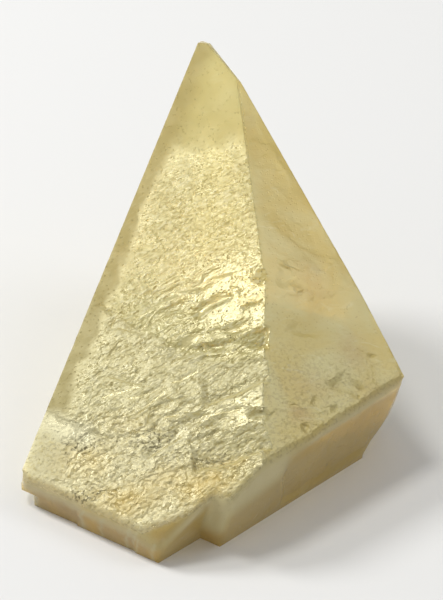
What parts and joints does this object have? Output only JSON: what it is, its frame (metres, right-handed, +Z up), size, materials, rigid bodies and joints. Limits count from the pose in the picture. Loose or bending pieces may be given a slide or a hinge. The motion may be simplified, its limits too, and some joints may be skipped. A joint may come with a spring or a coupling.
{
  "type": "calcite crystal",
  "caption": "Honey-coloured calcite dog-tooth crystal, one pointed end broken off along its cleavage, lying on the break.",
  "frame": {"origin": "centre of the bounding box, on the surface that the crystal rests on", "axes": "+Z up, +Y from the broken front end to the pointed tip, +X to the right seen from the front"},
  "size_m": [0.0576, 0.0788, 0.0441],
  "materials": {
    "calcite": "translucent honey yellow, glossy growth faces, pearly cleavage"
  },
  "bodies": {
    "root": {"calcite_crystal": "calcite"}
  },
  "joints": []
}
